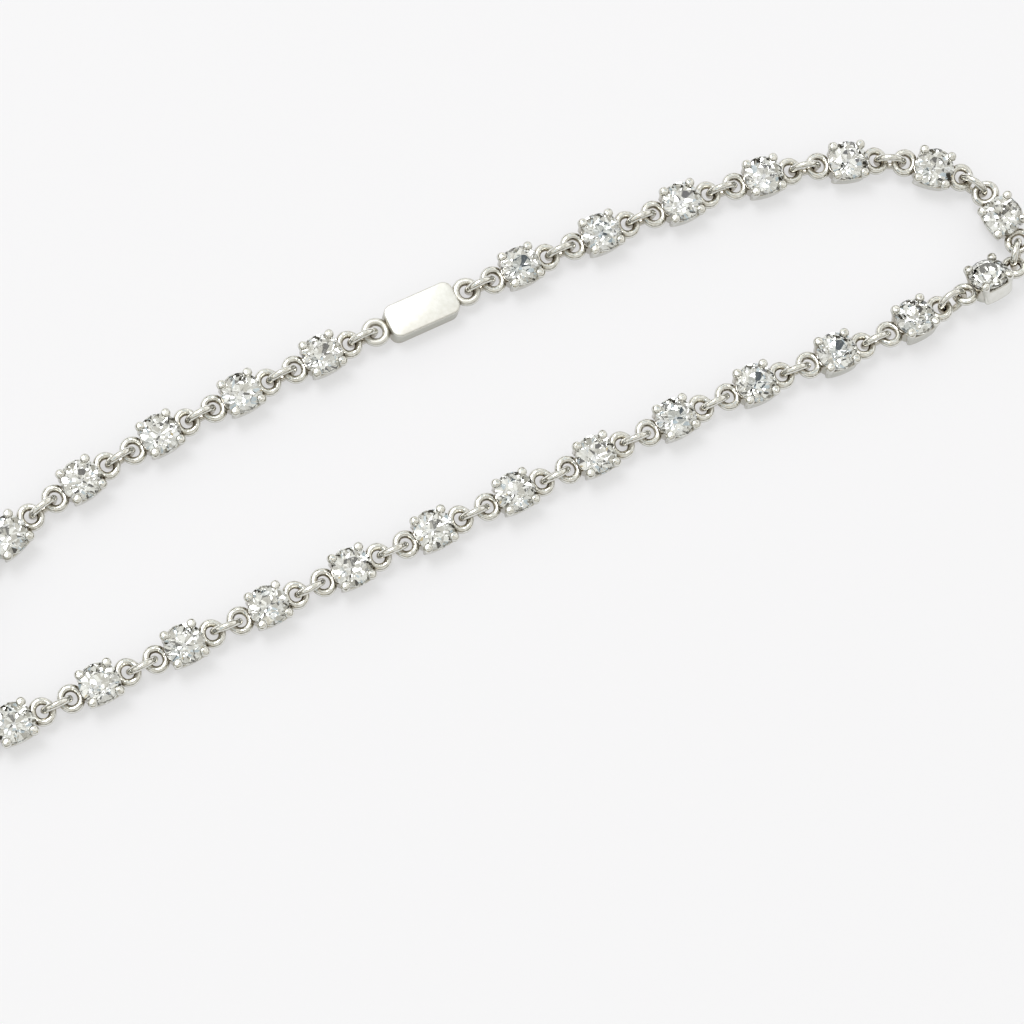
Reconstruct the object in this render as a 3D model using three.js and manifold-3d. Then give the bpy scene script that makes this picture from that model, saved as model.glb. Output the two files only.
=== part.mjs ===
// A diamond line bracelet: round old-cut stones in four-claw settings, linked into a closed loop by
// upright jump rings and one plain clasp. It lies flat with its stones up. Millimetres, +Z up.
import * as THREE from "three";
import { mergeVertices } from "three/addons/utils/BufferGeometryUtils.js";
import Module from "manifold-3d";

// Chain. Each setting has a side ring at both ends, and a jump ring joins two side rings.
const STONE_LINK_HALF = 2.2; // from a setting's centre to the centre of its side ring
const CLASP_HALF = 3.7; // the same for the clasp
const RING_GAP = 2.2; // between the centres of the two side rings that a jump ring joins
const SIDE_RING_HEIGHT = 1.03; // of a side ring's middle above the surface
const HIDDEN_LINKS_A_SIDE = 7; // settings between the shown run and the clasp, on each side

// Stone
const STONE_RADIUS = 1.5;
const GIRDLE_HEIGHT = 0.72; // above the side rings' middle, as all heights below are
const GIRDLE_THICKNESS = 0.08;
const PAVILION_DEPTH = 1.2;
const CROWN_HEIGHT = 0.5;
const TABLE_RADIUS = 0.72;
const STONE_SIDES = 8;

// Setting
const BASE_RADIUS = 1.42;
const RIM_RADIUS = 1.5;
const WALL_THICKNESS = 0.26;
const RIM_HEIGHT = 0.45;
const END_WINDOW = { width: 1.1, sill: 0.32 };
const CLAW_WIDTH = 0.6;
const CLAW_TURN = 47; // degrees from the chain's line to each claw
const SIDE_RING = { radius: 0.8, wire: 0.27 };

// Jump ring
const JUMP_RING = { radius: 0.94, wire: 0.21 };
const TIGHT_RING = { radius: 0.73, wire: 0.21 }; // small enough to meet both of its side rings
const END_RING_SLIDE = JUMP_RING.radius - TIGHT_RING.radius; // makes a full ring meet one of them

// Roundness of the turned walls and the wire rings
const SHOWN_DETAIL = { wall: 12, ring: 10, wire: 5 };
const HIDDEN_DETAIL = { wall: 8, ring: 8, wire: 4 };

// Clasp
const CLASP_BODY = { length: 5.5, width: 2.6, height: 1.8, corner: 0.7, edge: 0.15 };

// The shown run, left to right. heading: degrees from +X towards +Y. lean: degrees that the stone
// faces back. ringLean: the same for the jump ring on the link's right.
const SHOWN_RUN = [
  { heading: 0, lean: 0, ringLean: -8 },
  { heading: 0, lean: 0, ringLean: -12 },
  { heading: 0, lean: 0, ringLean: -8 },
  { heading: 0, lean: 0, ringLean: -12 },
  { heading: 0, lean: 0, ringLean: -10 },
  { heading: 0, lean: 0, ringLean: -8 },
  { heading: 0, lean: 0, ringLean: -12 },
  { heading: 0, lean: 0, ringLean: -8 },
  { heading: 0, lean: 2, ringLean: -8 },
  { heading: -3, lean: 4, ringLean: -4 },
  { heading: -5, lean: 8, ringLean: 0 },
  { heading: 2, lean: 12, ringLean: 25 },
  { heading: 4, lean: 31, ringLean: 18 },
];
const NEXT_LEANS = [12, 5]; // of the hidden links after the shown run: the rest lie flat

const solids = await Module();
solids.setup();

const whiteGold = { color: 0xc9c9c4, roughness: 0.25, metalness: 1 };
const diamond = { color: 0xf0f3f6, roughness: 0.05, metalness: 0 };
const toRadians = THREE.MathUtils.degToRad;
const twoDigits = (number) => String(number).padStart(2, "0");

// --- Solids ---------------------------------------------------------------------------------

function solidOf(geometry) {
  const bare = geometry.clone();
  bare.deleteAttribute("normal");
  bare.deleteAttribute("uv");
  const merged = mergeVertices(bare, 1e-4);
  return new solids.Manifold(
    new solids.Mesh({
      numProp: 3,
      vertProperties: merged.attributes.position.array,
      triVerts: new Uint32Array(merged.index.array),
    }),
  );
}

function geometryOf(solid) {
  const mesh = solid.getMesh();
  const geometry = new THREE.BufferGeometry();
  geometry.setAttribute("position", new THREE.BufferAttribute(mesh.vertProperties, 3));
  geometry.setIndex(new THREE.BufferAttribute(mesh.triVerts, 1));
  geometry.computeVertexNormals();
  return geometry;
}

const joined = (parts) => parts.reduce((whole, part) => whole.add(part));

// A solid of revolution about +Z from [radius, height] points, listed from the bottom outwards.
function turned(points, sides) {
  const profile = points.map(([radius, height]) => new THREE.Vector2(radius, height));
  return new THREE.LatheGeometry(profile, sides).rotateX(Math.PI / 2);
}

const flatRing = ({ radius, wire }, detail) =>
  new THREE.TorusGeometry(radius, wire, detail.wire, detail.ring);
const uprightRing = (size, detail) => flatRing(size, detail).rotateX(Math.PI / 2);

// --- Pieces, each centred between its side rings, with the chain along +X ---------------------

function stoneGeometry() {
  const girdleTop = GIRDLE_HEIGHT + GIRDLE_THICKNESS;
  const profile = [
    [0, GIRDLE_HEIGHT - PAVILION_DEPTH],
    [STONE_RADIUS, GIRDLE_HEIGHT],
    [STONE_RADIUS, girdleTop],
    [TABLE_RADIUS, girdleTop + CROWN_HEIGHT],
    [0, girdleTop + CROWN_HEIGHT],
  ];
  return turned(profile, STONE_SIDES);
}

// A tapered wall, open below and above, and lower at its two ends, where the side rings are.
function wallSolid(detail) {
  const base = -SIDE_RING_HEIGHT;
  const wall = turned(
    [
      [BASE_RADIUS - WALL_THICKNESS, base],
      [BASE_RADIUS, base],
      [RIM_RADIUS, RIM_HEIGHT],
      [RIM_RADIUS - WALL_THICKNESS, RIM_HEIGHT],
      [BASE_RADIUS - WALL_THICKNESS, base],
    ],
    detail.wall,
  );
  const { width, sill } = END_WINDOW;
  const window = new THREE.BoxGeometry(4 * RIM_RADIUS, width, 1);
  window.translate(0, 0, sill + 0.5);
  return solidOf(wall).subtract(solidOf(window));
}

// A claw's side: up the wall, out round the girdle with a notch for it, and over the crown.
function clawSolid(turn) {
  const notch = STONE_RADIUS + 0.05;
  const outline = new THREE.Shape(
    [
      [1.27, -0.8],
      [1.78, -0.8],
      [1.86, 0.7],
      [1.8, 1.1],
      [1.5, 1.24],
      [1.2, 1.08],
      [notch, 0.92],
      [notch, 0.62],
    ].map(([out, height]) => new THREE.Vector2(out, height)),
  );
  const claw = new THREE.ExtrudeGeometry(outline, { depth: CLAW_WIDTH, bevelEnabled: false });
  claw.translate(0, 0, -CLAW_WIDTH / 2);
  claw.rotateX(Math.PI / 2);
  claw.rotateZ(toRadians(turn));
  return solidOf(claw);
}

function sideRingSolid(x, detail) {
  return solidOf(flatRing(SIDE_RING, detail).translate(x, 0, 0));
}

function settingSolid(detail) {
  const clawTurns = [CLAW_TURN, 180 - CLAW_TURN, 180 + CLAW_TURN, -CLAW_TURN];
  return joined([
    wallSolid(detail),
    ...clawTurns.map(clawSolid),
    sideRingSolid(STONE_LINK_HALF, detail),
    sideRingSolid(-STONE_LINK_HALF, detail),
  ]);
}

function claspSolid() {
  const { length, width, height, corner, edge } = CLASP_BODY;
  const [x, y] = [length / 2 - edge, width / 2 - edge];
  const plan = new THREE.Shape();
  plan.moveTo(-x + corner, -y);
  plan.lineTo(x - corner, -y);
  plan.absarc(x - corner, -y + corner, corner, -Math.PI / 2, 0);
  plan.absarc(x - corner, y - corner, corner, 0, Math.PI / 2);
  plan.absarc(-x + corner, y - corner, corner, Math.PI / 2, Math.PI);
  plan.absarc(-x + corner, -y + corner, corner, Math.PI, 1.5 * Math.PI);
  const body = new THREE.ExtrudeGeometry(plan, {
    depth: height - 2 * edge,
    bevelSize: edge,
    bevelThickness: edge,
    bevelSegments: 1,
    curveSegments: 3,
  });
  body.translate(0, 0, edge - SIDE_RING_HEIGHT);
  const sideRings = [CLASP_HALF, -CLASP_HALF].map((x) => sideRingSolid(x, SHOWN_DETAIL));
  return joined([solidOf(body), ...sideRings]);
}

// --- The chain's way round --------------------------------------------------------------------

const LINK_COUNT = SHOWN_RUN.length + 2 * HIDDEN_LINKS_A_SIDE + 1;
const CLASP_PLACE = SHOWN_RUN.length + HIDDEN_LINKS_A_SIDE;

const halfLength = (place) => (place === CLASP_PLACE ? CLASP_HALF : STONE_LINK_HALF);
const direction = (heading) =>
  new THREE.Vector2(Math.cos(toRadians(heading)), Math.sin(toRadians(heading)));

// Each joint of the hidden stretch leaves a fixed share of the turn to the clasp's heading, so the
// chain turns most beside the shown run. The second side mirrors the first, with its own share.
function headings(firstShare, secondShare) {
  const shown = SHOWN_RUN.map((row) => row.heading);
  const firstTurn = 180 - shown.at(-1);
  const secondTurn = 180 + shown[0];
  const steps = Array.from({ length: HIDDEN_LINKS_A_SIDE }, (_, step) => step + 1);
  const first = steps.map((step) => 180 - firstTurn * firstShare ** step);
  const second = steps.map((step) => 180 + secondTurn * secondShare ** step).reverse();
  return [...shown, ...first, 180, ...second];
}

// Walks the loop from the first link's left side ring. end is where it comes back to.
function walk(turns) {
  const links = [];
  const rings = [];
  const point = new THREE.Vector2();
  turns.forEach((heading, place) => {
    const along = direction(heading);
    point.addScaledVector(along, halfLength(place));
    links.push({ at: point.clone(), heading });
    point.addScaledVector(along, halfLength(place));
    const next = place + 1 < turns.length ? turns[place + 1] : turns[0] + 360;
    const across = direction((heading + next) / 2);
    point.addScaledVector(across, RING_GAP / 2);
    rings.push({ at: point.clone(), heading: (heading + next) / 2 });
    point.addScaledVector(across, RING_GAP / 2);
  });
  return { links, rings, end: point };
}

// The two shares that close the loop, by Newton's method.
function closedWalk() {
  const nudge = 1e-5;
  let [first, second] = [0.5, 0.5];
  for (let round = 0; round < 12; round += 1) {
    const miss = walk(headings(first, second)).end;
    const byFirst = walk(headings(first + nudge, second)).end.sub(miss).divideScalar(nudge);
    const bySecond = walk(headings(first, second + nudge)).end.sub(miss).divideScalar(nudge);
    const scale = byFirst.cross(bySecond);
    first -= miss.cross(bySecond) / scale;
    second -= byFirst.cross(miss) / scale;
  }
  return walk(headings(first, second));
}

// --- Placing ----------------------------------------------------------------------------------

const leans = [...SHOWN_RUN.map((row) => row.lean), ...NEXT_LEANS];
const leanOf = (place) => leans[place] ?? 0;

// A leaning setting stands on the edge of its base.
function heightOf(place) {
  const lean = toRadians(leanOf(place));
  return SIDE_RING_HEIGHT * Math.cos(lean) + BASE_RADIUS * Math.sin(Math.abs(lean));
}

function placed({ at, heading }, lean, height) {
  const frame = new THREE.Object3D();
  frame.position.set(at.x, at.y, height);
  frame.rotation.set(toRadians(-lean), 0, toRadians(heading), "ZXY");
  frame.updateMatrix();
  return frame.matrix;
}

const { links, rings } = closedWalk();
const linkFrame = (place) => placed(links[place], leanOf(place), heightOf(place));

// A jump ring hangs midway between its side rings, or stands on the surface where they are lower.
const ringFrame = (place) => {
  const hanging = (heightOf(place) + heightOf((place + 1) % LINK_COUNT)) / 2;
  const standing = JUMP_RING.radius + JUMP_RING.wire;
  return placed(rings[place], SHOWN_RUN[place]?.ringLean ?? 0, Math.max(hanging, standing));
};

const bracelet = new THREE.Group();

function add(name, geometry, frame, look) {
  const mesh = new THREE.Mesh(geometry, new THREE.MeshStandardMaterial(look));
  mesh.name = name;
  mesh.applyMatrix4(frame);
  bracelet.add(mesh);
}

const settingShape = geometryOf(settingSolid(SHOWN_DETAIL));
const stoneShape = stoneGeometry();
const ringShape = uprightRing(JUMP_RING, SHOWN_DETAIL);

SHOWN_RUN.forEach((_, place) => {
  add("setting_" + twoDigits(place + 1), settingShape, linkFrame(place), whiteGold);
  add("jump_ring_" + twoDigits(place + 2), ringShape, ringFrame(place), whiteGold);
});
add("jump_ring_01", ringShape, ringFrame(LINK_COUNT - 1), whiteGold);
add("clasp", geometryOf(claspSolid()), linkFrame(CLASP_PLACE), whiteGold);

const stonePlaces = links.map((_, place) => place).filter((place) => place !== CLASP_PLACE);
stonePlaces.forEach((place, index) => {
  add("stone_" + twoDigits(index + 1), stoneShape, linkFrame(place), diamond);
});

// The hidden stretch's metal in four runs. The rings between a run's settings meet them on both
// sides. One more ring, at the end nearer the clasp, meets the run and clears what comes next.
const BACK_RUNS = [
  { first: 13, last: 16, towardsClasp: 1 },
  { first: 17, last: 19, towardsClasp: 1 },
  { first: 21, last: 23, towardsClasp: -1 },
  { first: 24, last: 27, towardsClasp: -1 },
];

function backRunSolid({ first, last, towardsClasp }) {
  const places = links.map((_, place) => place).filter((place) => first <= place && place <= last);
  const settings = places.map((place) => hiddenSetting.transform(linkFrame(place).elements));
  const between = places.slice(1).map((place) => tightRing.transform(ringFrame(place - 1).elements));
  const end = uprightRing(JUMP_RING, HIDDEN_DETAIL).translate(towardsClasp * END_RING_SLIDE, 0, 0);
  const endPlace = towardsClasp > 0 ? last : first - 1;
  return joined([...settings, ...between, solidOf(end).transform(ringFrame(endPlace).elements)]);
}

const hiddenSetting = settingSolid(HIDDEN_DETAIL);
const tightRing = solidOf(uprightRing(TIGHT_RING, HIDDEN_DETAIL));
BACK_RUNS.forEach((run, index) => {
  add("back_run_" + (index + 1), geometryOf(backRunSolid(run)), new THREE.Matrix4(), whiteGold);
});

// The origin is at the middle of the bracelet's footprint, on the surface.
const box = new THREE.Box3().setFromObject(bracelet, true);
const middle = box.getCenter(new THREE.Vector3());
bracelet.position.set(-middle.x, -middle.y, 0);

export default bracelet;
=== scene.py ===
"""Looks of a diamond line bracelet, built round its CAD frame.

Every piece is modelled once at the bench: in millimetres, with the chain along +X and the middle
of its side rings at the origin. It is then copied to its places along the chain, in metres.
"""

from math import cos, pi, radians, sin

import bmesh
import bpy
from mathutils import Matrix, Vector


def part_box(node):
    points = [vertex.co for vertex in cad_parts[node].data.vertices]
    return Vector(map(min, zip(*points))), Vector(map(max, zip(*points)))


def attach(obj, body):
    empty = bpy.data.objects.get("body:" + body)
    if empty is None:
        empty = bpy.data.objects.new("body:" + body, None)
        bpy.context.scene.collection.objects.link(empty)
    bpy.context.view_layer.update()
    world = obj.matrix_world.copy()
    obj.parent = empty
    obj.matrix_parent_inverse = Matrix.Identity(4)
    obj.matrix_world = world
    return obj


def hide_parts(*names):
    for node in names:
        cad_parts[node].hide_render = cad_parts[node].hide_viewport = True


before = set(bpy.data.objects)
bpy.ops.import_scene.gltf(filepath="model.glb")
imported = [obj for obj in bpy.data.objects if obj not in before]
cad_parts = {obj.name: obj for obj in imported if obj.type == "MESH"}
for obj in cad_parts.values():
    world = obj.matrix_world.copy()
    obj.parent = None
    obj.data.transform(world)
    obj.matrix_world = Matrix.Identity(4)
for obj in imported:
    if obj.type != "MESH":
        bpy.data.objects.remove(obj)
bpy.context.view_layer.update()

MM = 0.001  # metres

# Chain: the part's own lengths, in millimetres
STONE_LINK_HALF = 2.2
CLASP_HALF = 3.7
RING_GAP = 2.2
SIDE_RING_HEIGHT = 1.03
BASE_RADIUS = 1.42
HIDDEN_LINKS_A_SIDE = 7

# The shown run, left to right: heading, lean of the setting, lean of the jump ring on its right,
# all in degrees. The lean of the next hidden settings follows.
SHOWN_RUN = [
    (0, 0, -8),
    (0, 0, -12),
    (0, 0, -8),
    (0, 0, -12),
    (0, 0, -10),
    (0, 0, -8),
    (0, 0, -12),
    (0, 0, -8),
    (0, 2, -8),
    (-3, 4, -4),
    (-5, 8, 0),
    (2, 12, 25),
    (4, 31, 18),
]
NEXT_LEANS = [12, 5]

LINK_COUNT = len(SHOWN_RUN) + 2 * HIDDEN_LINKS_A_SIDE + 1
CLASP_PLACE = len(SHOWN_RUN) + HIDDEN_LINKS_A_SIDE

# Links of the CAD's back runs, and the jump ring that each run ends with
BACK_RUNS = {
    "back_run_1": {"settings": range(13, 17), "rings": range(13, 17)},
    "back_run_2": {"settings": range(17, 20), "rings": range(17, 20)},
    "back_run_3": {"settings": range(21, 24), "rings": range(20, 23)},
    "back_run_4": {"settings": range(24, 28), "rings": range(23, 27)},
}


# --- The chain's way round -------------------------------------------------------------------


def direction(heading):
    return Vector((cos(radians(heading)), sin(radians(heading))))


def headings(first_share, second_share):
    """Headings of all links. The hidden ones near the clasp's heading by a fixed share each."""
    shown = [heading for heading, _, _ in SHOWN_RUN]
    first_turn = 180 - shown[-1]
    second_turn = 180 + shown[0]
    steps = range(1, HIDDEN_LINKS_A_SIDE + 1)
    first = [180 - first_turn * first_share**step for step in steps]
    second = [180 + second_turn * second_share**step for step in reversed(steps)]
    return shown + first + [180] + second


def walk(turns):
    """Walks the loop from the first link's left side ring: links, jump rings and the end."""
    links, rings = [], []
    point = Vector((0, 0))
    for place, heading in enumerate(turns):
        half = CLASP_HALF if place == CLASP_PLACE else STONE_LINK_HALF
        point += half * direction(heading)
        links.append((point.copy(), heading))
        point += half * direction(heading)
        following = turns[place + 1] if place + 1 < len(turns) else turns[0] + 360
        between = (heading + following) / 2
        point += RING_GAP / 2 * direction(between)
        rings.append((point.copy(), between))
        point += RING_GAP / 2 * direction(between)
    return links, rings, point


def closed_walk():
    """The two shares that close the loop, by Newton's method."""
    nudge = 1e-5
    rounds = 12
    first, second = 0.5, 0.5
    for _ in range(rounds):
        miss = walk(headings(first, second))[2]
        by_first = (walk(headings(first + nudge, second))[2] - miss) / nudge
        by_second = (walk(headings(first, second + nudge))[2] - miss) / nudge
        scale = by_first.cross(by_second)
        first -= miss.cross(by_second) / scale
        second -= by_first.cross(miss) / scale
    return walk(headings(first, second))


links, rings, _ = closed_walk()
leans = [lean for _, lean, _ in SHOWN_RUN] + NEXT_LEANS

clasp_low, clasp_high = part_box("clasp")
clasp_middle = (clasp_low + clasp_high) / 2 / MM
shift = clasp_middle.to_2d() - links[CLASP_PLACE][0]


def lean_of(place):
    return leans[place] if place < len(leans) else 0


def height_of(place):
    """A leaning setting stands on the edge of its base."""
    lean = radians(lean_of(place))
    return SIDE_RING_HEIGHT * cos(lean) + BASE_RADIUS * sin(abs(lean))


def placed(spot, lean, height):
    """From the bench, in millimetres, to the row frame, in metres."""
    at, heading = spot
    x, y = at + shift
    turn = Matrix.Rotation(radians(heading), 4, "Z") @ Matrix.Rotation(radians(-lean), 4, "X")
    return Matrix.Scale(MM, 4) @ Matrix.Translation((x, y, height)) @ turn


def link_frame(place):
    return placed(links[place], lean_of(place), height_of(place))


def ring_frame(place):
    """A jump ring hangs midway between its side rings, or stands where they are lower."""
    hanging = (height_of(place) + height_of((place + 1) % LINK_COUNT)) / 2
    standing = JUMP_RING_SQUASH * (JUMP_WIRE["radius"] + JUMP_WIRE["wire"])
    lean = SHOWN_RUN[place][2] if place < len(SHOWN_RUN) else 0
    return placed(rings[place], lean, max(hanging, standing))


# --- Bench tools -----------------------------------------------------------------------------

WELD = 0.002  # points nearer to each other than this are merged


def begin(name, primitive, **settings):
    """Adds a primitive on its own, in edit mode with all of it selected."""
    if bpy.context.object and bpy.context.object.mode == "EDIT":
        bpy.ops.object.mode_set(mode="OBJECT")
    bpy.ops.object.select_all(action="DESELECT")
    primitive(**settings)
    piece = bpy.context.object
    piece.name = name
    bpy.ops.object.transform_apply(location=True, rotation=True, scale=True)
    bpy.ops.object.mode_set(mode="EDIT")
    bpy.ops.mesh.select_mode(type="FACE")
    bpy.ops.mesh.select_all(action="SELECT")
    return piece


def pick(wanted):
    """Selects just the faces whose middle is wanted."""
    bpy.ops.mesh.select_all(action="DESELECT")
    mesh = bmesh.from_edit_mesh(bpy.context.object.data)
    for face in mesh.faces:
        if wanted(face.calc_center_median()):
            face.select_set(True)
    bmesh.update_edit_mesh(bpy.context.object.data)


def close_up():
    """Merges what spinning or joining doubled, and turns all faces outwards."""
    bpy.ops.mesh.select_all(action="SELECT")
    bpy.ops.mesh.remove_doubles(threshold=WELD)
    bpy.ops.mesh.normals_make_consistent(inside=False)


def face_away():
    """Turns an open wall's faces away from the stone's axis, because it has no inside to go by."""
    mesh = bmesh.from_edit_mesh(bpy.context.object.data)
    mesh.normal_update()
    facing = sum(face.normal.xy.dot(face.calc_center_median().xy) for face in mesh.faces)
    if facing < 0:
        bpy.ops.mesh.flip_normals()


def leave():
    bpy.ops.object.mode_set(mode="OBJECT")


def finish_with(piece, kind, **settings):
    """Adds one modifier and applies it."""
    modifier = piece.modifiers.new(kind.lower(), kind)
    for key, value in settings.items():
        setattr(modifier, key, value)
    bpy.context.view_layer.objects.active = piece
    bpy.ops.object.modifier_apply(modifier=modifier.name)


def round_off(piece, levels):
    finish_with(piece, "SUBSURF", levels=levels, render_levels=levels)


def join(name, pieces):
    bpy.ops.object.select_all(action="DESELECT")
    for piece in pieces:
        piece.select_set(True)
    bpy.context.view_layer.objects.active = pieces[0]
    bpy.ops.object.join()
    pieces[0].name = name
    return pieces[0]


def copied(piece, name, matrix):
    """A copy with its own mesh, put in place in the mesh itself."""
    twin = bpy.data.objects.new(name, piece.data.copy())
    twin.data.transform(matrix)
    bpy.context.scene.collection.objects.link(twin)
    return twin


def smooth(piece, angle):
    bpy.ops.object.select_all(action="DESELECT")
    piece.select_set(True)
    bpy.context.view_layer.objects.active = piece
    bpy.ops.object.shade_smooth_by_angle(angle=radians(angle))


# --- Wire rings ------------------------------------------------------------------------------

RING_SECTIONS = 24
WIRE_SIDES = 8
CAGE = 1.11  # the smoothing draws the wire in by this much
# The wire is drawn a little fuller than the part's own, whose sections are flat-sided
JUMP_WIRE = {"radius": 1.01, "wire": 0.26, "unevenness": 0.016}
JUMP_RING_SQUASH = 0.94  # the jump rings are a little lower than they are long
SIDE_WIRE = {"radius": 0.79, "wire": 0.305, "unevenness": 0.014}
SIDE_RING_SQUASH = 0.9  # the side rings are a little shorter along the chain than across
ROUND_WORK = 80  # degrees: every edge of wire work is shaded round
JUMP_RING_SEEDS = (11, 12, 13)
SIDE_RING_SEED = 3
CLASP_RING_SEED = 5


def wire_ring(name, form, seed):
    """A flat ring of round wire, spun, and dented a little as by pliers and files."""
    ring = begin(
        name,
        bpy.ops.mesh.primitive_circle_add,
        vertices=WIRE_SIDES,
        radius=form["wire"] * CAGE,
        location=(form["radius"], 0, 0),
        rotation=(pi / 2, 0, 0),
    )
    bpy.ops.mesh.spin(steps=RING_SECTIONS, angle=2 * pi, center=(0, 0, 0), axis=(0, 0, 1))
    close_up()
    dent = form["unevenness"]
    bpy.ops.transform.vertex_random(offset=dent, uniform=0.3, normal=0.7, seed=seed)
    leave()
    round_off(ring, 2)
    smooth(ring, ROUND_WORK)
    return ring


# --- Setting ---------------------------------------------------------------------------------

# Rows of the wall under the stone, from its foot up: height, and reach along and across the chain
WALL_ROWS = [
    (-1.03, 1.42, 1.16),
    (-0.91, 1.48, 1.22),
    (-0.4, 1.5, 1.28),
    (0.0, 1.49, 1.34),
    (0.3, 1.48, 1.38),
    (0.45, 1.46, 1.41),
]
WALL = {"sides": 64, "thickness": 0.24, "edge": 0.05}
# The two side plates are flatter than the wall and taper with it. They end at the claws' posts
PLATE = {
    "sides": 96,
    "curve": 5.0,
    "reach": 1.25,
    "taper": 0.2,
    "half_length": 1.24,
    "corner": 0.4,
    "thickness": 0.3,
    "height": 1.44,
    "edge": 0.12,
}
PLATE_RISES = (0.15, 0.85)  # shares of its height that its two rows rise by
CORNER_CUTS = (22.5, 45, 67.5)  # degrees from level to upright, round a corner
END_WINDOW = {"half_width": 0.55, "sill": 0.3}
CLAW_TURN = 47  # degrees from the chain's line to each claw
CLAW_SIDES = 10
CLAW_DENTS = {"offset": 0.03, "uniform": 0.2, "normal": 0.6, "seed": 7}
# Each step of a claw: distance from the stone's axis, height and radius
CLAW_FOOT = (1.36, -0.93, 0.12)
CLAW_STEPS = [
    (1.36, -0.86, 0.2),
    (1.42, -0.3, 0.25),
    (1.5, 0.35, 0.31),
    (1.54, 0.62, 0.34),
    (1.56, 0.82, 0.38),
    (1.55, 1.02, 0.39),
    (1.52, 1.17, 0.32),
    (1.5, 1.23, 0.17),
]
SOLDER = {"radius": 0.3, "out": 1.5, "stretch": (0.6, 1.7, 1.0)}


def make_gallery():
    """The tapered wall under the stone, lower at its two ends, where the side rings are."""
    foot, along, across = WALL_ROWS[0]
    wall = begin(
        "gallery",
        bpy.ops.mesh.primitive_circle_add,
        vertices=WALL["sides"],
        radius=1,
        location=(0, 0, foot),
    )
    bpy.ops.mesh.select_mode(type="EDGE")
    bpy.ops.mesh.select_all(action="SELECT")
    bpy.ops.transform.resize(value=(along, across, 1), center_override=(0, 0, foot))
    last_row = WALL_ROWS[0]
    for row in WALL_ROWS[1:]:
        rise = {"value": (0, 0, row[0] - last_row[0])}
        bpy.ops.mesh.extrude_edges_move(TRANSFORM_OT_translate=rise)
        grow = (row[1] / last_row[1], row[2] / last_row[2], 1)
        bpy.ops.transform.resize(value=grow, center_override=(0, 0, row[0]))
        last_row = row
    bpy.ops.mesh.select_mode(type="FACE")
    pick(lambda at: abs(at.y) < END_WINDOW["half_width"] and at.z > END_WINDOW["sill"])
    bpy.ops.mesh.delete(type="FACE")
    close_up()
    face_away()
    leave()
    finish_with(wall, "SOLIDIFY", thickness=WALL["thickness"], offset=-1)
    finish_with(wall, "BEVEL", width=WALL["edge"], segments=2, angle_limit=0.7)
    smooth(wall, 40)
    return wall


def make_plate():
    """The smooth curved plate along one side of the setting, with rounded lower corners."""
    foot = -SIDE_RING_HEIGHT
    plate = begin(
        "side_plate",
        bpy.ops.mesh.primitive_circle_add,
        vertices=PLATE["sides"],
        radius=PLATE["curve"],
        location=(0, PLATE["curve"] - PLATE["reach"], foot),
    )
    bpy.ops.mesh.select_mode(type="EDGE")
    for side in (1, -1):
        bpy.ops.mesh.select_all(action="SELECT")
        bpy.ops.mesh.bisect(
            plane_co=(side * PLATE["half_length"], 0, 0), plane_no=(side, 0, 0), clear_outer=True
        )
    bpy.ops.mesh.select_all(action="SELECT")
    bpy.ops.mesh.bisect(plane_co=(0, 0, 0), plane_no=(0, 1, 0), clear_outer=True)
    bpy.ops.mesh.select_all(action="SELECT")
    for share in PLATE_RISES:
        step = (0, -share * PLATE["taper"], share * PLATE["height"])
        bpy.ops.mesh.extrude_edges_move(TRANSFORM_OT_translate={"value": step})
    corner = PLATE["corner"]
    for side in (1, -1):
        for slope in CORNER_CUTS:
            way = Vector((side * cos(radians(slope)), 0, -sin(radians(slope))))
            middle = Vector((side * (PLATE["half_length"] - corner), 0, foot + corner))
            bpy.ops.mesh.select_all(action="SELECT")
            bpy.ops.mesh.bisect(plane_co=middle + corner * way, plane_no=way, clear_outer=True)
    close_up()
    face_away()
    leave()
    finish_with(plate, "SOLIDIFY", thickness=PLATE["thickness"], offset=-1)
    finish_with(plate, "BEVEL", width=PLATE["edge"], segments=4, angle_limit=0.7)
    smooth(plate, 50)
    return plate


def make_claw():
    """A round post up the wall that swells to a bead over the stone's edge."""
    out, height, radius = CLAW_FOOT
    claw = begin(
        "claw",
        bpy.ops.mesh.primitive_circle_add,
        vertices=CLAW_SIDES,
        radius=radius,
        fill_type="NGON",
        location=(out, 0, height),
    )
    for next_out, next_height, next_radius in CLAW_STEPS:
        step = {"value": (next_out - out, 0, next_height - height)}
        bpy.ops.mesh.extrude_region_move(TRANSFORM_OT_translate=step)
        grow = next_radius / radius
        at = (next_out, 0, next_height)
        bpy.ops.transform.resize(value=(grow, grow, 1), center_override=at)
        out, height, radius = next_out, next_height, next_radius
    close_up()
    bpy.ops.transform.vertex_random(**CLAW_DENTS)
    leave()
    round_off(claw, 2)
    smooth(claw, ROUND_WORK)
    return claw


def make_solder():
    """The bead of solder where a side ring meets the wall."""
    at = (SOLDER["out"], 0, 0)
    bead = begin(
        "solder",
        bpy.ops.mesh.primitive_uv_sphere_add,
        segments=16,
        ring_count=10,
        radius=SOLDER["radius"],
        location=at,
    )
    bpy.ops.transform.resize(value=SOLDER["stretch"], center_override=at)
    leave()
    smooth(bead, ROUND_WORK)
    return bead


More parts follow.
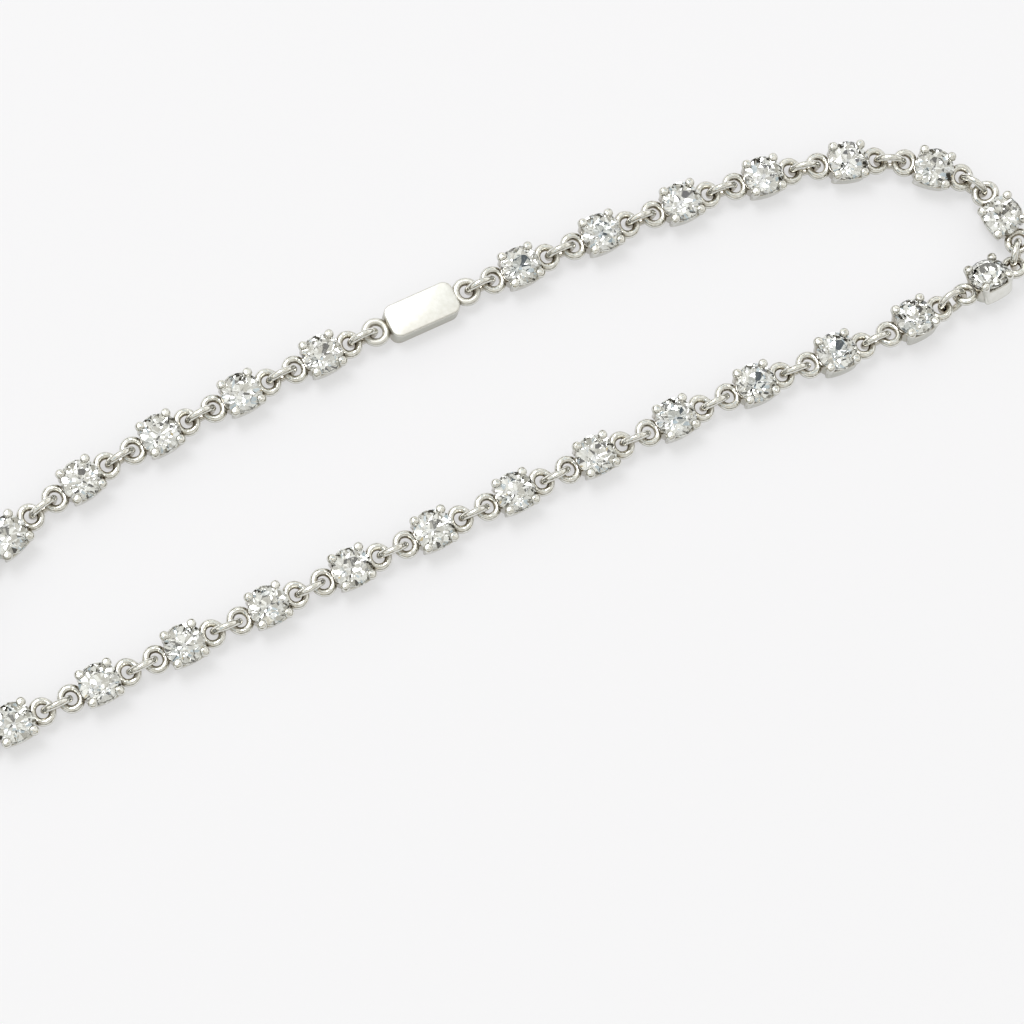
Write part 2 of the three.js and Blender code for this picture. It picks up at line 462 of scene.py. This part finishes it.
def make_setting():
    """The soldered metal of one link: wall, two plates, four claws and two side rings."""
    wall = make_gallery()
    claw = make_claw()
    solder = make_solder()
    side_ring = wire_ring("side_ring", SIDE_WIRE, SIDE_RING_SEED)
    plate = make_plate()
    squash = Matrix.Scale(SIDE_RING_SQUASH, 4, (1, 0, 0))
    parts = [wall, plate, copied(plate, "back_plate", Matrix.Rotation(pi, 4, "Z"))]
    for turn in (CLAW_TURN, 180 - CLAW_TURN, 180 + CLAW_TURN, -CLAW_TURN):
        parts.append(copied(claw, "claw_at_corner", Matrix.Rotation(radians(turn), 4, "Z")))
    for half_turn in (0, pi):
        round_to = Matrix.Rotation(half_turn, 4, "Z")
        out = Matrix.Translation((STONE_LINK_HALF, 0, 0)) @ squash
        parts.append(copied(side_ring, "side_ring_at_end", round_to @ out))
        parts.append(copied(solder, "solder_at_end", round_to))
    for spare in (claw, solder, side_ring):
        bpy.data.objects.remove(spare)
    return join("setting_master", parts)


# --- Stone -----------------------------------------------------------------------------------

STONE_RADIUS = 1.5
GIRDLE = {"bottom": 0.72, "top": 0.8}
GIRDLE_BITE = 0.02  # that the facets beside the mains cut into the girdle
TABLE_HEIGHT = 1.3
STAR_REACH = 0.66  # from the stone's axis to where a star facet meets the table
CULET_HEIGHT = -0.46
ROUGH = {"sides": 48, "depth": 2.4, "middle": 0.3}
# Slopes in degrees beside those of the main facets, and the most that the cutter's eye is out by
STAR_EASE = 11
UPPER_STEEPER = 6
LOWER_STEEPER = 2.4
CUTTERS_ERROR = 1.2
# Each stone was cut by eye, so no two outlines or angles match: how far its corners are cut in,
# the slopes of crown and pavilion, and the turn of its first facet
STONE_CUTS = [
    (0.05, 34, 40.5, 8),
    (0.03, 33, 41.5, 31),
    (0.07, 35, 40.0, -14),
    (0.02, 32, 42.0, 19),
    (0.06, 34.5, 41.0, 40),
]


def cut_facet(azimuth, slope, through, below=False):
    """Grinds one facet: it slopes down outwards through the point (radius, height)."""
    radius, height = through
    turn, tilt = radians(azimuth), radians(slope)
    down = -1 if below else 1
    normal = (sin(tilt) * cos(turn), sin(tilt) * sin(turn), down * cos(tilt))
    point = (radius * cos(turn), radius * sin(turn), height)
    bpy.ops.mesh.select_all(action="SELECT")
    bpy.ops.mesh.bisect(
        plane_co=point, plane_no=normal, use_fill=True, clear_outer=True, threshold=1e-5
    )


def make_stone(name, squareness, crown, pavilion, start):
    """An old cut, ground by eye: a small table, a high crown and a culet."""
    stone = begin(
        name,
        bpy.ops.mesh.primitive_cylinder_add,
        vertices=ROUGH["sides"],
        radius=STONE_RADIUS,
        depth=ROUGH["depth"],
        location=(0, 0, ROUGH["middle"]),
    )
    for corner in range(4):
        cut_facet(start + 90 * corner, 90, (STONE_RADIUS - squareness, 0))
    cut_facet(0, 0, (0, TABLE_HEIGHT))
    cut_facet(0, 0, (0, CULET_HEIGHT), below=True)
    for eighth in range(8):
        azimuth = start + 45 * eighth
        wobble = CUTTERS_ERROR * sin(2.3 * eighth + 5 * squareness + crown)
        cut_facet(azimuth, crown + wobble, (STONE_RADIUS, GIRDLE["top"]))
        cut_facet(azimuth + 22.5 + wobble, crown - STAR_EASE, (STAR_REACH, TABLE_HEIGHT))
        cut_facet(azimuth, pavilion - wobble, (STONE_RADIUS, GIRDLE["bottom"]), below=True)
        for side in (-11.25, 11.25):
            upper = (STONE_RADIUS, GIRDLE["top"] - GIRDLE_BITE)
            lower = (STONE_RADIUS, GIRDLE["bottom"] + GIRDLE_BITE)
            cut_facet(azimuth + side, crown + UPPER_STEEPER - wobble, upper)
            cut_facet(azimuth + side, pavilion + LOWER_STEEPER + wobble, lower, below=True)
    close_up()
    leave()
    bpy.ops.object.shade_flat()
    return stone


# --- Clasp -----------------------------------------------------------------------------------

CLASP_BODY = {"length": 5.5, "width": 2.6, "height": 1.8, "corner": 0.7, "edge": 0.15}


def make_clasp():
    """A plain box clasp: a rounded body with a side ring at both ends."""
    size = (CLASP_BODY["length"], CLASP_BODY["width"], CLASP_BODY["height"])
    middle = CLASP_BODY["height"] / 2 - SIDE_RING_HEIGHT
    body = begin(
        "clasp_body",
        bpy.ops.mesh.primitive_cube_add,
        size=1,
        scale=size,
        location=(0, 0, middle),
    )
    leave()
    weights = body.data.attributes.new("bevel_weight_edge", "FLOAT", "EDGE")
    for edge in body.data.edges:
        one, two = (body.data.vertices[index].co for index in edge.vertices)
        is_upright = abs(one.z - two.z) > CLASP_BODY["height"] / 2
        weights.data[edge.index].value = 1 if is_upright else 0
    corner = CLASP_BODY["corner"]
    finish_with(body, "BEVEL", width=corner, segments=8, limit_method="WEIGHT")
    finish_with(body, "BEVEL", width=CLASP_BODY["edge"], segments=4, angle_limit=0.9)
    smooth(body, 30)
    side_ring = wire_ring("clasp_ring", SIDE_WIRE, CLASP_RING_SEED)
    ends = [
        copied(side_ring, "clasp_ring_at_end", Matrix.Translation((x, 0, 0)))
        for x in (CLASP_HALF, -CLASP_HALF)
    ]
    bpy.data.objects.remove(side_ring)
    return join("clasp_master", [body, *ends])


# --- Finishes --------------------------------------------------------------------------------


def hex_colour(code):
    """sRGB hex to linear."""
    values = [int(code[i : i + 2], 16) / 255 for i in (1, 3, 5)]
    linear = [v / 12.92 if v <= 0.04045 else ((v + 0.055) / 1.055) ** 2.4 for v in values]
    return (*linear, 1)


def add_node(tree, kind, inputs=None, **settings):
    """Adds a node with its settings. An input is a value, or an output to link."""
    node = tree.nodes.new(kind)
    for key, value in settings.items():
        setattr(node, key, value)
    for socket, value in (inputs or {}).items():
        if isinstance(value, bpy.types.NodeSocket):
            tree.links.new(value, node.inputs[socket])
        else:
            node.inputs[socket].default_value = value
    return node


def new_finish(name):
    material = bpy.data.materials.new(name)
    material.use_nodes = True
    material.node_tree.nodes.clear()
    return material, material.node_tree


def end_with(tree, shader):
    add_node(tree, "ShaderNodeOutputMaterial", {"Surface": shader.outputs[0]})


def per_mm(size):
    """The scale of a pattern in metres whose features are that many millimetres across."""
    return 1 / (size * MM)


def mix_node(tree, share, one, other):
    """Mixes two colours, each a hex value or an output to link."""
    one, other = (hex_colour(end) if isinstance(end, str) else end for end in (one, other))
    inputs = {"Fac": share, "Color1": one, "Color2": other}
    return add_node(tree, "ShaderNodeMixRGB", inputs).outputs["Color"]


DENT_SIZE = 0.35  # millimetres, as all sizes below are
SCRATCH_SIZE = 0.09
SCRATCH_DEPTH = 0.01
SCRATCH_BLUR = 0.12  # that scratches add to the roughness at most
# Painted crevice shade: the metal is darkened where another surface lies within this reach
CREVICE_SHADE_REACH = 1.1  # from one surface to another
ZONE_SIZE = 1.2


def white_gold_finish(name, dent_depth, dullness):
    """18 ct white gold, cast and hand finished: bright, with soft dents from the polishing mop and
    fine scratches that blur its highlights. Its sides are painted darker than its top as painted
    shade, and a brown-grey painted shade darkens it inside the rings and between the pieces."""
    material, tree = new_finish(name)
    place = add_node(tree, "ShaderNodeTexCoord").outputs["Object"]
    dents = add_node(
        tree, "ShaderNodeTexNoise", {"Vector": place, "Scale": per_mm(DENT_SIZE), "Detail": 2.0}
    )
    scratches = add_node(
        tree, "ShaderNodeTexNoise", {"Vector": place, "Scale": per_mm(SCRATCH_SIZE), "Detail": 3.0}
    )
    tone = mix_node(tree, dents.outputs["Fac"], "#E2E1DA", "#F9F9F6")
    # Painted shade: where the normal is near level, the sides are painted a darker grey than the
    # top
    normal = add_node(tree, "ShaderNodeNewGeometry").outputs["Normal"]
    facing = add_node(tree, "ShaderNodeSeparateXYZ", {"Vector": normal})
    upward = add_node(tree, "ShaderNodeMath", {0: facing.outputs["Z"]}, operation="ABSOLUTE")
    top_lit_share = add_node(
        tree,
        "ShaderNodeMapRange",
        {"Value": upward.outputs["Value"], "From Min": 0.05, "From Max": 0.6},
    )
    side_shaded = mix_node(tree, top_lit_share.outputs["Result"], "#BCBCB3", tone)
    # Painted shade: brown-grey painted where ambient occlusion finds other surfaces near, inside
    # the rings and between the pieces
    openness = add_node(
        tree, "ShaderNodeAmbientOcclusion", {"Distance": CREVICE_SHADE_REACH * MM}, samples=8
    )
    unshaded_share = add_node(
        tree,
        "ShaderNodeMapRange",
        {"Value": openness.outputs["AO"], "From Min": 0.25, "From Max": 0.85},
    )
    crevice_shaded = mix_node(tree, unshaded_share.outputs["Result"], "#B0A99C", side_shaded)
    blur = add_node(
        tree,
        "ShaderNodeMapRange",
        {
            "Value": scratches.outputs["Fac"],
            "To Min": dullness,
            "To Max": dullness + SCRATCH_BLUR,
        },
    )
    dented = add_node(
        tree,
        "ShaderNodeBump",
        {"Height": dents.outputs["Fac"], "Strength": 0.8, "Distance": dent_depth * MM},
    )
    scratched = add_node(
        tree,
        "ShaderNodeBump",
        {
            "Height": scratches.outputs["Fac"],
            "Strength": 0.25,
            "Distance": SCRATCH_DEPTH * MM,
            "Normal": dented.outputs["Normal"],
        },
    )
    shader = add_node(
        tree,
        "ShaderNodeBsdfPrincipled",
        {
            "Base Color": crevice_shaded,
            "Metallic": 1.0,
            "Roughness": blur.outputs["Result"],
            "Normal": scratched.outputs["Normal"],
        },
    )
    end_with(tree, shader)
    return material


def clear_diamond():
    """Colourless diamond: strong sparkle from its high index, and a trace of cool zoning."""
    material, tree = new_finish("clear_diamond")
    place = add_node(tree, "ShaderNodeTexCoord").outputs["Object"]
    zones = add_node(
        tree, "ShaderNodeTexNoise", {"Vector": place, "Scale": per_mm(ZONE_SIZE), "Detail": 1.0}
    )
    tone = mix_node(tree, zones.outputs["Fac"], "#FBFBF6", "#F2F6F8")
    shader = add_node(
        tree,
        "ShaderNodeBsdfPrincipled",
        {
            "Base Color": tone,
            "Roughness": 0.0,
            "IOR": 2.417,
            "Transmission Weight": 1.0,
        },
    )
    end_with(tree, shader)
    return material


def lit_acrylic():
    """Matt opal acrylic lit from below, as on a light table: even, and its shadows stay pale."""
    material, tree = new_finish("lit_acrylic")
    shader = add_node(
        tree,
        "ShaderNodeBsdfPrincipled",
        {
            "Base Color": hex_colour("#A6A6AA"),
            "Roughness": 1.0,
            "Specular IOR Level": 0.0,
            "Emission Color": hex_colour("#FFFFFF"),
            "Emission Strength": 0.526,
        },
    )
    end_with(tree, shader)
    return material


# --- Making the bracelet ---------------------------------------------------------------------

# What is made from one master is turned by this much from piece to piece, in degrees
STONE_TURN = 67
RING_TURN = 53
STONE_STEP = 3  # and neighbouring stones are this far apart in the list of cuts

RING_SWING = 4  # degrees, the most that a loose jump ring hangs out of line
SWING_STEP = 2.5  # radians of its wave from ring to ring
LOOSE_RINGS = 10

polished = white_gold_finish("polished_white_gold", 0.052, 0.03)  # the links: mirror-like
satin = white_gold_finish("satin_white_gold", 0.006, 0.3)  # the clasp: softly blurred
diamond = clear_diamond()

setting_master = make_setting()
ring_masters = [
    wire_ring("ring_master_" + str(seed), JUMP_WIRE, seed) for seed in JUMP_RING_SEEDS
]
stone_masters = [
    make_stone("stone_master_" + str(index + 1), *cut) for index, cut in enumerate(STONE_CUTS)
]
clasp_master = make_clasp()


def hand_over(piece, material, node):
    """Finishes a piece, hangs it on the root body and hides the CAD node that it stands for."""
    piece.data.materials.clear()
    piece.data.materials.append(material)
    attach(piece, "root")
    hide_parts(node)


def two_digits(number):
    return str(number).zfill(2)


def run_with(kind, place):
    """The back run that holds the setting or the ring of a place."""
    return next(name for name, run in BACK_RUNS.items() if place in run[kind])


stone_places = [place for place in range(LINK_COUNT) if place != CLASP_PLACE]
for index, place in enumerate(stone_places):
    number = two_digits(index + 1)
    here = link_frame(place)
    setting = copied(setting_master, "claw_setting_" + number, here)
    shown = place < len(SHOWN_RUN)
    node = "setting_" + number if shown else run_with("settings", place)
    hand_over(setting, polished, node)
    turned = Matrix.Rotation(radians(STONE_TURN * index), 4, "Z")
    stone_master = stone_masters[(STONE_STEP * index) % len(stone_masters)]
    stone = copied(stone_master, "old_cut_stone_" + number, here @ turned)
    hand_over(stone, diamond, "stone_" + number)

upright = Matrix.Scale(JUMP_RING_SQUASH, 4, (0, 0, 1)) @ Matrix.Rotation(pi / 2, 4, "X")
for place in range(LINK_COUNT):
    number = (place + 1) % LINK_COUNT + 1
    if number <= len(SHOWN_RUN) + 1:
        node = "jump_ring_" + two_digits(number)
    else:
        node = run_with("rings", place)
    swing = RING_SWING * sin(SWING_STEP * place) if place < LOOSE_RINGS else 0
    swung = Matrix.Rotation(radians(swing), 4, "Z")
    turned = Matrix.Rotation(radians(RING_TURN * place), 4, "Z")
    ring = copied(
        ring_masters[place % len(ring_masters)],
        "linking_ring_" + two_digits(number),
        ring_frame(place) @ swung @ upright @ turned,
    )
    hand_over(ring, polished, node)

clasp = copied(clasp_master, "box_clasp", link_frame(CLASP_PLACE))
hand_over(clasp, satin, "clasp")

for master in [setting_master, clasp_master, *ring_masters, *stone_masters]:
    bpy.data.objects.remove(master)


# --- Studio ----------------------------------------------------------------------------------

ROLL = radians(24.77)  # of the camera, so that the chain rises to the right
TILT = radians(16)  # of the camera from straight down
TILT_SIDE = radians(38)  # the heading that it looks along
DISTANCE = 280 * MM
FIELD = 73.8 * MM  # across what the camera sees
AIM_PLACE = 6  # the link that the camera aims at
AIM = (-0.9, 1.25)  # millimetres that it aims beside that stone, along the chain and to its front
SENSOR = 36

SOFTBOX = {"place": (-0.2, 0.55, 1.2), "size": 0.65, "power": 6.2}  # metres and watts
LENS_SPREAD = radians(5)  # half the angle across the lens, seen from the bracelet
CARD_SCALE = 3.4  # the higher, the smaller the tent's cards
SKIRT_TOP = 0.3  # height in the tent, from 0 at the floor to 1 overhead
# The tent's cards: the share of the ramp at which each begins, and its colour
CARDS = [
    (0.0, "#1C1D1E"),
    (0.065, "#C6D3DA"),
    (0.105, "#FFFEF8"),
    (0.55, "#E9E7DF"),
    (0.78, "#C6C3B9"),
    (0.9, "#F2DCA8"),
    (0.93, "#FFFFFF"),
]


def make_floor():
    """The light table that the bracelet lies on."""
    floor = begin("studio_floor", bpy.ops.mesh.primitive_plane_add, size=6, location=(0, 0, 0))
    leave()
    floor.data.materials.append(lit_acrylic())


def make_camera():
    """Looks down on the chain. Returns the direction from the chain to the lens."""
    towards = Vector(
        (-sin(TILT) * cos(TILT_SIDE), -sin(TILT) * sin(TILT_SIDE), cos(TILT))
    )
    along = Vector((1, 0, 0))
    along = (along - along.dot(towards) * towards).normalized()
    across = towards.cross(along)
    right = cos(ROLL) * along - sin(ROLL) * across
    up = sin(ROLL) * along + cos(ROLL) * across
    stone = link_frame(AIM_PLACE) @ Vector((0, 0, 1.0))
    aim = stone + MM * (AIM[0] * along - AIM[1] * across)
    data = bpy.data.cameras.new("camera")
    data.lens = SENSOR * DISTANCE / FIELD
    data.sensor_width = SENSOR
    data.clip_start = 0.01
    camera = bpy.data.objects.new("camera", data)
    turn = Matrix((right, up, towards)).transposed().to_4x4()
    camera.matrix_world = Matrix.Translation(aim + DISTANCE * towards) @ turn
    bpy.context.scene.collection.objects.link(camera)
    bpy.context.scene.camera = camera
    return towards


def make_softbox():
    """One round softbox behind the chain, facing the middle of the table."""
    data = bpy.data.lights.new("key_softbox", "AREA")
    data.shape = "DISK"
    data.size = SOFTBOX["size"]
    data.energy = SOFTBOX["power"]
    softbox = bpy.data.objects.new("key_softbox", data)
    place = Vector(SOFTBOX["place"])
    facing_middle = place.to_track_quat("Z", "Y").to_matrix().to_4x4()
    softbox.matrix_world = Matrix.Translation(place) @ facing_middle
    bpy.context.scene.collection.objects.link(softbox)


def make_tent(lens_way):
    """A white light tent: plain near the floor, with grey, blue and warm cards higher up, and the
    dark front of the lens."""
    world = bpy.data.worlds.new("light_tent")
    bpy.context.scene.world = world
    world.use_nodes = True
    tree = world.node_tree
    tree.nodes.clear()
    way = add_node(tree, "ShaderNodeTexCoord").outputs["Generated"]
    cells = add_node(tree, "ShaderNodeTexVoronoi", {"Vector": way, "Scale": CARD_SCALE})
    number = add_node(tree, "ShaderNodeSeparateColor", {"Color": cells.outputs["Color"]})
    cards = add_node(tree, "ShaderNodeValToRGB", {"Fac": number.outputs["Red"]})
    ramp = cards.color_ramp
    ramp.interpolation = "CONSTANT"
    ramp.elements.remove(ramp.elements[1])
    ramp.elements[0].color = hex_colour(CARDS[0][1])
    for position, colour in CARDS[1:]:
        ramp.elements.new(position).color = hex_colour(colour)
    part = add_node(tree, "ShaderNodeSeparateXYZ", {"Vector": way})
    high = add_node(
        tree, "ShaderNodeMath", {0: part.outputs["Z"], 1: SKIRT_TOP}, operation="GREATER_THAN"
    )
    seen = add_node(tree, "ShaderNodeLightPath").outputs["Is Camera Ray"]
    skirt = mix_node(tree, seen, "#7F7B6E", "#F4F4F4")
    back = add_node(
        tree,
        "ShaderNodeMapRange",
        {"Value": part.outputs["Y"], "From Min": -1.0, "To Min": 0.7, "To Max": 1.25},
    )
    lit = add_node(
        tree,
        "ShaderNodeVectorMath",
        {0: cards.outputs["Color"], "Scale": back.outputs["Result"]},
        operation="SCALE",
    )
    tent = mix_node(tree, high.outputs["Value"], skirt, lit.outputs["Vector"])
    facing = add_node(
        tree, "ShaderNodeVectorMath", {0: way, 1: lens_way}, operation="DOT_PRODUCT"
    )
    lens = add_node(
        tree,
        "ShaderNodeMath",
        {0: facing.outputs["Value"], 1: cos(LENS_SPREAD)},
        operation="GREATER_THAN",
    )
    seen_with_lens = mix_node(tree, lens.outputs["Value"], tent, "#3A3936")
    light = add_node(tree, "ShaderNodeBackground", {"Color": seen_with_lens, "Strength": 1.03})
    add_node(tree, "ShaderNodeOutputWorld", {"Surface": light.outputs["Background"]})


make_floor()
lens_way = make_camera()
make_softbox()
make_tent(lens_way)
bpy.context.scene.view_settings.view_transform = "Standard"
